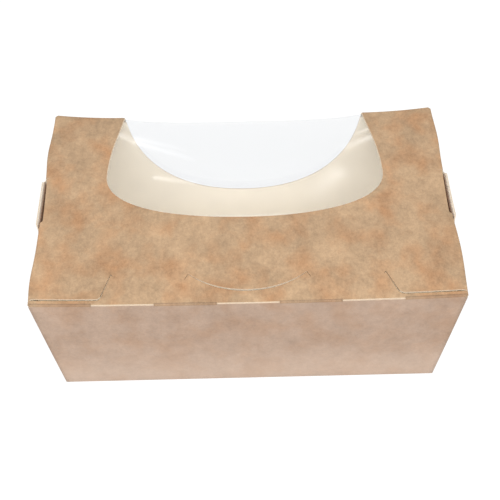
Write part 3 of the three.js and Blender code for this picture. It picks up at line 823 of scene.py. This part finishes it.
def tray_ring(z, inset, wall, run):
    """The tray's outline at each rim point's height z: a tapered rectangle whose side walls bow out a
    little. wall is 0 to 3 for back, right, front and left, and run goes from -1 to 1 along each.
    The bow eases in over the last eighth of run, and the hinge corners are pulled in over its last
    tenth, with the square of the height."""
    narrowing = (TOP - z) * TAPER + inset
    half = HALF_W - narrowing
    back, front = HINGE_Y + narrowing, FRONT_WALL_Y - narrowing
    lean = np.clip(z / TOP, 0, 1)
    side = np.select([wall == 1, wall == 3], [1, -1], 0)
    y = back + (front - back) * (side * run + 1) / 2
    bow = wall_bow(side, y, z) * np.clip((1 - np.abs(run)) * 8, 0, 1)
    corner = CORNER_PULL * lean ** 2
    y = y + corner * np.clip((-0.9 - side * run) * 10, 0, 1) * np.abs(side)
    y = np.select([wall == 0, wall == 2], [back + corner * run ** 4, front], y)
    fold = WINDOW["fold"]
    keep = fold / HALF_W
    beside = np.clip((np.abs(run) - keep) / (1 - keep), 0, 1)
    front_x = -np.sign(run) * (np.clip(np.abs(run) / keep, 0, 1) * fold + beside * (half - fold))
    return np.select([wall == 0, wall == 2], [half * run, front_x], side * (half + bow)), y


def glue_tab(side, end):
    """A glue tab of the tray: the back or front wall carried on round the corner, flat inside the side
    wall. u runs from the corner to the tab's end, and w from its foot up."""
    u, w = np.meshgrid(np.linspace(0, 1, 12), np.linspace(0, 1, 16), indexing="ij")
    along = u * TAB["length"]
    z = TAB["foot"] + w * (TAB["height"] - TAB["slant"] * u)
    narrowing = (TOP - z) * TAPER
    corner = np.where(end < 0, HINGE_Y + narrowing, FRONT_WALL_Y - narrowing)
    y = corner - end * (BOARD + along)
    wall_x = HALF_W - narrowing + wall_bow(side, y, z) * np.clip(along / TAB["ease"], 0, 1)
    outer, inner = (np.stack([side * (wall_x - BOARD - depth), y, z], -1) for depth in (TAB["gap"], BOARD))
    return sheet(outer, inner) if side * end < 0 else sheet(outer[::-1], inner[::-1])


class SALADBOX_OT_tray(bpy.types.Operator):
    """Folded tray, as a stack of outlines from the base up the tapered walls, and its glue tabs"""

    bl_idname = "saladbox.tray"
    bl_label = "Tray"

    def execute(self, context):
        n = TRAY_POINTS
        scoop_x, scoop_z = front_scoop(n["scoop"])
        plain = np.linspace(0, 1, n["plain_front"], endpoint=False)
        right_x = np.concatenate([HALF_W + (WINDOW["fold"] + SCOOP_GAP - HALF_W) * plain, scoop_x[::-1]])
        right_z = np.concatenate([np.full(n["plain_front"], TOP - FRONT_DROP), scoop_z[::-1]])
        front_x = np.concatenate([right_x, -right_x[:-1][::-1]])
        front_z = np.concatenate([right_z, right_z[:-1][::-1]])
        run_back = np.linspace(-1, 1, n["back"], endpoint=False)
        run_side = np.linspace(-1, 1, n["side"], endpoint=False)
        centre = (HALF_D + HINGE_Y) / 2
        lock = LOCK_TAB["rise"] * lock_share(centre + run_side * DEPTH / 2)
        lock_back = LOCK_TAB["rise"] * lock_share(centre - run_side * DEPTH / 2)
        run_front = -front_x[:-1] / HALF_W
        wall = np.repeat([0, 1, 2, 3], [n["back"], n["side"], len(run_front), n["side"]])
        run = np.concatenate([run_back, run_side, run_front, run_side])
        sag = size("edge_sag") * (1 - run_back ** 2)
        top = np.concatenate([
            TOP - BOARD - BACK_GAP - sag, TOP - SIDE_DROP + lock, front_z[:-1], TOP - SIDE_DROP + lock_back])
        top[0] = top[n["back"]] = TOP - SIDE_DROP
        count = len(run)
        low, half = BASE_ROUND * 0.13, BASE_ROUND * 0.5
        bend = ((0.0, BASE_ROUND), (low, half), (half, low))
        outer_rows = [(np.full(count, z), inset) for z, inset in bend]
        climb = 1 - (1 - BASE_ROUND / TOP) * np.linspace(1, 0, n["up"]) ** 1.7
        outer_rows += [(top * share, 0.0) for share in climb]
        inner_rows = [(np.maximum(top * share, BOARD), BOARD) for share in climb[::-1]]
        inner_rows.append((np.full(count, BOARD), BOARD + half))
        rings = []
        for z, inset in outer_rows + inner_rows:
            x, y = tray_ring(z, inset, wall, run)
            rings.append(np.stack([x, y, z], 1))
        under = [rings[0] * (share, share, 1) for share in BASE_SHARES]
        within = [rings[-1] * (share, share, 1) for share in BASE_SHARES[::-1]]
        rings = under + rings + within
        points = np.concatenate(rings + [np.array([[0, 0, 0], [0, 0, BOARD]])])
        k = np.arange(count)
        k1 = (k + 1) % count
        faces, finish = [], []
        rim_row = len(under) + len(outer_rows) - 1
        for r in range(len(rings) - 1):
            a, b = r * count + k, r * count + k1
            faces += [np.stack([a, b, b + count], 1), np.stack([a, b + count, a + count], 1)]
            finish += [np.full(2 * count, 0 if r < rim_row else (2 if r == rim_row else 1))]
        last = (len(rings) - 1) * count
        faces += [np.stack([np.full(count, len(points) - 2), k1, k], 1)]
        faces += [np.stack([np.full(count, len(points) - 1), last + k, last + k1], 1)]
        finish += [np.zeros(count), np.ones(count)]
        faces, finish = np.concatenate(faces), np.concatenate(finish).astype(int)
        piece = write_mesh("tray_board", points, faces, board_materials("tray"), finish)
        shade = piece.data.attributes.new("slot_shade", "FLOAT", "POINT")
        shade.data.foreach_set("value", slot_shade(points))
        points, faces, which = joined([glue_tab(side, end) for side in (-1, 1) for end in (-1, 1)])
        tabs = write_mesh("glue_tabs", points, faces, board_materials("tray"), which)
        for made in (tabs, piece):
            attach(made, "tray")
            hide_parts("tray")
        return {"FINISHED"}


class SALADBOX_OT_hinge(bpy.types.Operator):
    """Creased stretches of the hinge fold: a cubic curve from the wall over to the lid, run along x"""

    bl_idname = "saladbox.hinge"
    bl_label = "Hinge creases"

    def execute(self, context):
        stretch = 2 * HALF_W / STRETCHES
        webs = []
        for i in range(0, STRETCHES, 2):
            start = max(-HALF_W + i * stretch, -HALF_W + WEB_END_GAP)
            end = min(-HALF_W + (i + 1) * stretch, HALF_W - WEB_END_GAP)
            x = np.linspace(start, end, WEB_POINTS["across"])
            sag = size("edge_sag") * (1 - (x / HALF_W) ** 2)
            pull = CORNER_PULL * (x / HALF_W) ** 4
            section = bezier(*WEB_SECTION, WEB_POINTS["along"])
            y = HINGE_Y + section[:, 0] + pull[:, None]
            z = TOP - WEB_DROP + section[:, 1] - sag[:, None]
            outer = np.stack(np.broadcast_arrays(x[:, None], y, z), -1)
            webs.append(sheet(outer, outer + WEB_INWARD))
        points, faces, _ = joined(webs)
        # The webs take the darker crease kraft, a painted shade on the fold.
        creased = board_materials("crease")[:1]
        piece = write_mesh("hinge_creases", points, faces, creased, np.zeros(len(faces)))
        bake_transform(piece)
        return {"FINISHED"}


def film_crease_and_glare(points):
    """How milky the film is at each point, from its creases' own white and from painted glare
    highlights: a bell curve of the distance from each crease's line, fading along it."""
    share = np.zeros(len(points))
    for ax, ay, bx, by, width, strength in FILM_CREASES_AND_GLARE:
        start, run = np.array((ax, ay)), np.array((bx - ax, by - ay))
        t = np.clip((points[:, :2] - start) @ run / (run @ run), 0, 1)
        off = np.linalg.norm(points[:, :2] - start - t[:, None] * run, axis=1)
        share += strength * np.exp(-(off / width) ** 2) * (1 - 0.6 * t)
    return share


class SALADBOX_OT_film(bpy.types.Operator):
    """Clear window film: level under the lid, a soft arc over the front edge and a slope in the apron"""

    bl_idname = "saladbox.film"
    bl_label = "Window film"

    def execute(self, context):
        half = WINDOW["half"] + FILM["lap"]
        back, reach = HINGE_Y + WINDOW["back"] - FILM["lap"], WINDOW["front"] + FILM["lap"]
        n = FILM_POINTS
        x = np.linspace(-half, half, n["across"])[:, None]
        near = np.clip(np.abs(x) / WINDOW["fold"], 0, 1)

        def surface(depth):
            inset = BOARD + FILM["gap"] + depth
            radius = size("film_radius") + (FILM["corner_radius"] - size("film_radius")) * near ** 4 - depth
            turn = math.pi / 2 + APRON_TAPER
            start = HALF_D - inset - radius * math.tan(turn / 2)
            corner_z = lid_height(x, np.full_like(x, HALF_D)) - inset
            s = np.linspace(0, 1, n["top"], endpoint=False)[None]
            y1 = back + (start - back) * s
            z1 = lid_height(x, y1) - inset
            angle = np.linspace(0, turn, n["fold"], endpoint=False)[None]
            y2 = start + radius * np.sin(angle)
            z2 = corner_z - radius * (1 - np.cos(angle))
            drop0 = radius * (1 - math.cos(turn))
            d = (reach - drop0) * np.linspace(0, 1, n["front"])[None]
            y3 = start + radius * math.sin(turn) - d * math.tan(APRON_TAPER)
            z3 = corner_z - drop0 - d
            y = np.concatenate([y1, y2, y3], axis=1)
            z = np.concatenate([z1, z2, z3], axis=1)
            return np.stack([np.broadcast_to(x, y.shape), y, z], -1)

        points, faces, _ = sheet(surface(0.0), surface(size("film_thickness")))
        piece = write_mesh("window_film_sheet", points, faces, [film_material()], np.zeros(len(faces)))
        crease = piece.data.attributes.new("crease", "FLOAT", "POINT")
        crease.data.foreach_set("value", np.clip(film_crease_and_glare(points), 0, 1))
        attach(piece, "lid")
        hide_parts("window_film")
        return {"FINISHED"}


class SALADBOX_OT_stage(bpy.types.Operator):
    """Camera, pale floor, soft lamp and white surroundings"""

    bl_idname = "saladbox.stage"
    bl_label = "Stage"

    def execute(self, context):
        scene = context.scene
        scene.view_settings.view_transform = "Standard"
        azimuth, elevation = math.radians(CAMERA["azimuth"]), math.radians(CAMERA["elevation"])
        level = math.cos(elevation)
        back = Vector((math.sin(azimuth) * level, -math.cos(azimuth) * level, math.sin(elevation)))
        data = bpy.data.cameras.new("camera")
        data.sensor_width = CAMERA["sensor_mm"]
        data.lens = CAMERA["focal_px"] / CAMERA["frame_px"] * data.sensor_width
        data.clip_start = 0.01
        camera = bpy.data.objects.new("camera", data)
        turn = back.to_track_quat("Z", "Y").to_matrix().to_4x4()
        roll = Matrix.Rotation(math.radians(CAMERA["roll"]), 4, "Z")
        camera.matrix_world = Matrix.Translation(LOOK_AT + back * CAMERA["distance"]) @ turn @ roll
        scene.collection.objects.link(camera)
        scene.camera = camera
        self.make_floor()
        self.make_lamp(scene)
        self.make_surroundings(scene)
        return {"FINISHED"}

    def make_surroundings(self, scene):
        """A plain even light, and white for what the camera, reflections and the film see"""
        world = bpy.data.worlds.new("white_surroundings")
        scene.world = world
        world.use_nodes = True
        tree = world.node_tree
        tree.nodes.clear()
        light = add_node(tree, "ShaderNodeBackground", {"Color": (1, 1, 1, 1), "Strength": 0.73})
        seen = add_node(tree, "ShaderNodeBackground", {"Color": (1, 1, 1, 1), "Strength": 1.0})
        path = add_node(tree, "ShaderNodeLightPath")
        direct = seen_directly(tree, path)
        either = add_node(
            tree, "ShaderNodeMath", operation="MAXIMUM",
            links={0: direct.outputs[0], 1: path.outputs["Is Transmission Ray"]})
        mix = add_node(
            tree, "ShaderNodeMixShader",
            links={0: either.outputs[0], 1: light.outputs[0], 2: seen.outputs[0]})
        add_node(tree, "ShaderNodeOutputWorld", links={"Surface": mix.outputs[0]})

    def make_floor(self):
        """A wide square that takes the box's shadow and glows white to the camera and in reflections"""
        corners = np.array([(-1, -1, 0), (1, -1, 0), (1, 1, 0), (-1, 1, 0)]) * FLOOR_HALF
        material, tree = new_material("pale_studio_floor")
        matt = add_node(tree, "ShaderNodeBsdfDiffuse", {"Color": colours().floor})
        glow = add_node(tree, "ShaderNodeEmission", {"Color": (1, 1, 1, 1), "Strength": 1.08})
        seen = seen_directly(tree, add_node(tree, "ShaderNodeLightPath"))
        share = add_node(tree, "ShaderNodeMath", {1: 0.85}, {0: seen.outputs[0]}, operation="MULTIPLY")
        mix = add_node(
            tree, "ShaderNodeMixShader", links={0: share.outputs[0], 1: matt.outputs[0], 2: glow.outputs[0]})
        add_node(tree, "ShaderNodeOutputMaterial", links={"Surface": mix.outputs[0]})
        floor = write_mesh("floor", corners, [[0, 1, 2, 3]], [material], [0])

    def make_lamp(self, scene):
        """One wide low lamp above the camera, which lights the inside evenly"""
        data = bpy.data.lights.new("key_lamp", "AREA")
        data.shape = "RECTANGLE"
        data.size, data.size_y = LAMP["size"]
        data.energy = LAMP["power"]
        lamp = bpy.data.objects.new("key_lamp", data)
        turn = (LAMP["spot"] - LAMP["aim"]).to_track_quat("Z", "Y").to_matrix().to_4x4()
        lamp.matrix_world = Matrix.Translation(LAMP["spot"]) @ turn
        scene.collection.objects.link(lamp)


class SALADBOX_PT_panel(bpy.types.Panel):
    """Sidebar panel with the pieces and their settings"""

    bl_label = "Salad box"
    bl_idname = "SALADBOX_PT_panel"
    bl_space_type = "VIEW_3D"
    bl_region_type = "UI"
    bl_category = "Salad box"

    def draw(self, context):
        for group in (context.scene.salad_box_sizes, context.scene.salad_box_colours):
            for key in group.__annotations__:
                self.layout.prop(group, key)
        for operator in OPERATORS:
            self.layout.operator(operator.bl_idname)


OPERATORS = (SALADBOX_OT_tray, SALADBOX_OT_lid, SALADBOX_OT_hinge, SALADBOX_OT_film, SALADBOX_OT_stage)
CLASSES = (SaladBoxSizes, SaladBoxColours, *OPERATORS, SALADBOX_PT_panel)


def register():
    for item in CLASSES:
        bpy.utils.register_class(item)
    bpy.types.Scene.salad_box_sizes = bpy.props.PointerProperty(type=SaladBoxSizes)
    bpy.types.Scene.salad_box_colours = bpy.props.PointerProperty(type=SaladBoxColours)


def unregister():
    del bpy.types.Scene.salad_box_colours
    del bpy.types.Scene.salad_box_sizes
    for item in reversed(CLASSES):
        bpy.utils.unregister_class(item)


def main():
    register()
    bpy.ops.saladbox.tray()
    bpy.ops.saladbox.lid()
    bpy.ops.saladbox.hinge()
    bpy.ops.saladbox.film()
    bpy.ops.saladbox.stage()


if __name__ == "__main__":
    main()
